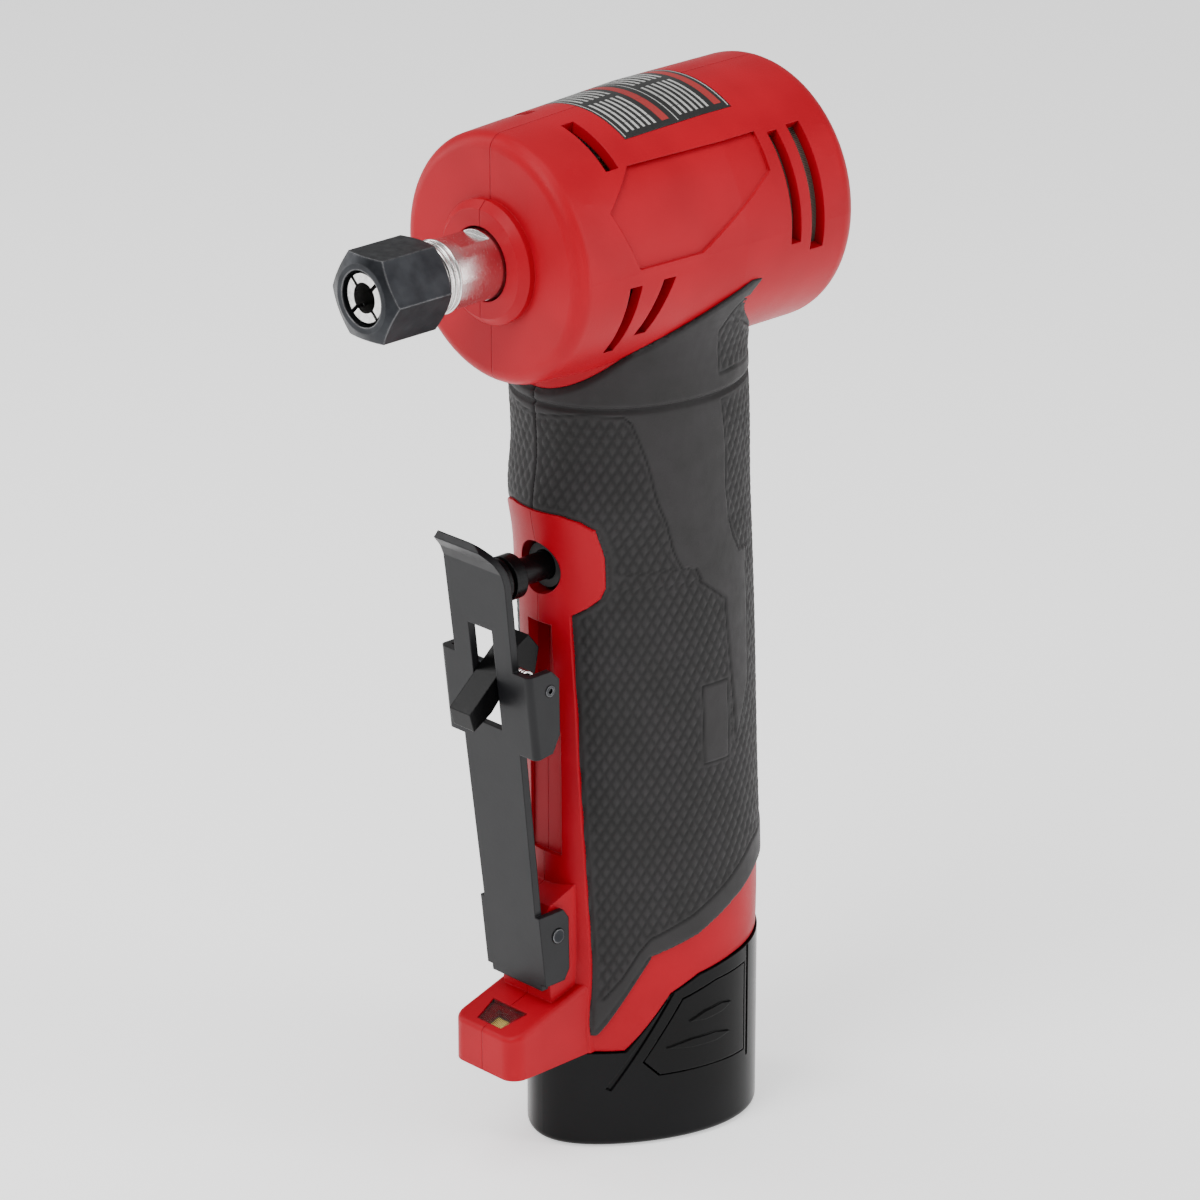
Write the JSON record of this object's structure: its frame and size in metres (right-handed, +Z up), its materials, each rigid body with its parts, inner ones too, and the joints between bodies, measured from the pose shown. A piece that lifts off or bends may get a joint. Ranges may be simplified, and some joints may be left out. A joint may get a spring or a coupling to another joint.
{
  "type": "die grinder",
  "caption": "Cordless right-angle die grinder with a drum head, collet, paddle lever with lock-off, knurled soft grip, work lamp and slide-in battery.",
  "frame": {"origin": "centre of the battery's flat underside, on the surface that the tool stands on, on the grip's centre line", "axes": "+Z up along the grip, -Y the way the spindle and collet point, +X the tool's right-hand side"},
  "size_m": [0.057, 0.1141, 0.2321],
  "materials": {
    "red_nylon": "satin injection-moulded glass-filled nylon, fine texture",
    "soft_rubber": "overmoulded soft grip with a diamond knurl",
    "black_plastic": "satin black moulded plastic",
    "gloss_black_plastic": "semi-gloss black moulded plastic",
    "black_painted_steel": "black powder-coated steel sheet",
    "black_oxide_steel": "oiled black-oxide steel, lighter on worn edges",
    "polished_steel": "ground and polished steel",
    "bearing_steel": "bearing steel",
    "electrical_steel": "laminated electrical steel",
    "magnet": "nickel-plated magnet",
    "copper": "enamelled copper",
    "circuit_board": "green circuit board",
    "clear_lens": "clear moulded polycarbonate",
    "lamp_die": "phosphor-coated light-emitting diode",
    "mesh_screen": "fine woven screen",
    "label_film": "printed film with plain light bars",
    "cell_wrap": "cell in a blue shrink wrap",
    "wire_insulation": "silicone insulated wire"
  },
  "bodies": {
    "housing": {"housing_right": "red_nylon", "housing_left": "red_nylon", "grip_right": "soft_rubber", "grip_left": "soft_rubber", "housing_screws": "black_oxide_steel", "front_bearing_outer_race": "bearing_steel", "rear_bearing_outer_race": "bearing_steel", "stator_core": "electrical_steel", "stator_windings": "copper", "position_sensor_board": "circuit_board", "vent_screens": "mesh_screen", "rating_label": "label_film", "lever_pin": "black_oxide_steel", "plunger_boot": "soft_rubber", "trigger_switch": "black_plastic", "switch_terminals": "copper", "control_board": "circuit_board", "power_transistors": "black_plastic", "bus_capacitor": "gloss_black_plastic", "terminal_block": "black_plastic", "motor_wires": "wire_insulation", "lamp_wires": "wire_insulation", "lamp_lens": "clear_lens", "lamp_board": "circuit_board", "lamp_diode": "lamp_die", "mode_panel": "black_plastic"},
    "spindle": {"spindle": "polished_steel", "rotor_core": "electrical_steel", "rotor_magnets": "magnet", "cooling_fan": "black_plastic", "front_bearing_inner_race": "bearing_steel", "rear_bearing_inner_race": "bearing_steel"},
    "collet": {"collet": "polished_steel"},
    "collet_nut": {"collet_nut": "black_oxide_steel"},
    "lever": {"lever": "black_painted_steel", "lock_off_pin": "black_oxide_steel", "lock_off_spring": "polished_steel"},
    "lock_off": {"lock_off_lever": "gloss_black_plastic"},
    "plunger": {"switch_plunger": "gloss_black_plastic"},
    "mode_button": {"mode_button": "black_plastic"},
    "battery": {"battery_base": "gloss_black_plastic", "battery_stem": "black_plastic", "battery_cells": "cell_wrap", "battery_contacts": "copper", "battery_screws": "black_oxide_steel"},
    "battery_latch_right": {"battery_latch_right": "gloss_black_plastic"},
    "battery_latch_left": {"battery_latch_left": "gloss_black_plastic"}
  },
  "joints": [
    {"name": "spindle_spin", "type": "hinge", "parent": "housing", "child": "spindle", "pos_m": [0, -0.036, 0.2036], "axis": [0, 1, 0], "continuous": true},
    {"name": "collet_draw", "type": "slide", "parent": "spindle", "child": "collet", "axis": [0, -1, 0], "range_m": [0, 0.00254]},
    {"name": "nut_turn", "type": "hinge", "parent": "collet", "child": "collet_nut", "pos_m": [0, -0.07, 0.2036], "axis": [0, -1, 0], "range_deg": [0, 720]},
    {"name": "lever_squeeze", "type": "hinge", "parent": "housing", "child": "lever", "pos_m": [0, -0.0335, 0.05305], "axis": [-1, 0, 0], "range_deg": [0, 5.5], "stiffness_Nm_per_rad": 1, "springref_deg": -5.73},
    {"name": "lock_off_tip", "type": "hinge", "parent": "lever", "child": "lock_off", "pos_m": [0, -0.03975, 0.1125], "axis": [1, 0, 0], "range_deg": [0, 22]},
    {"name": "plunger_press", "type": "slide", "parent": "housing", "child": "plunger", "axis": [0, 1, 0], "range_m": [0, 0.0079]},
    {"name": "mode_button_press", "type": "slide", "parent": "housing", "child": "mode_button", "axis": [0, -1, 0], "range_m": [0, 0.0006], "stiffness_N_per_m": 800, "springref_m": -0.0005},
    {"name": "battery_slide", "type": "slide", "parent": "housing", "child": "battery", "axis": [0, 0, -1], "range_m": [0, 0.062]},
    {"name": "latch_right_press", "type": "slide", "parent": "battery", "child": "battery_latch_right", "axis": [-1, 0, 0], "range_m": [0, 0.0014], "stiffness_N_per_m": 1500, "springref_m": -0.001},
    {"name": "latch_left_press", "type": "slide", "parent": "battery", "child": "battery_latch_left", "axis": [1, 0, 0], "range_m": [0, 0.0014], "stiffness_N_per_m": 1500, "springref_m": -0.001}
  ],
  "couplings": [
    {"joint": "nut_turn", "follows": "collet_draw", "rad_per_m": 4947.4},
    {"joint": "plunger_press", "follows": "lever_squeeze", "m_per_rad": 0.0807},
    {"joint": "lock_off_tip", "follows": "lever_squeeze", "ratio": 3.6364}
  ]
}
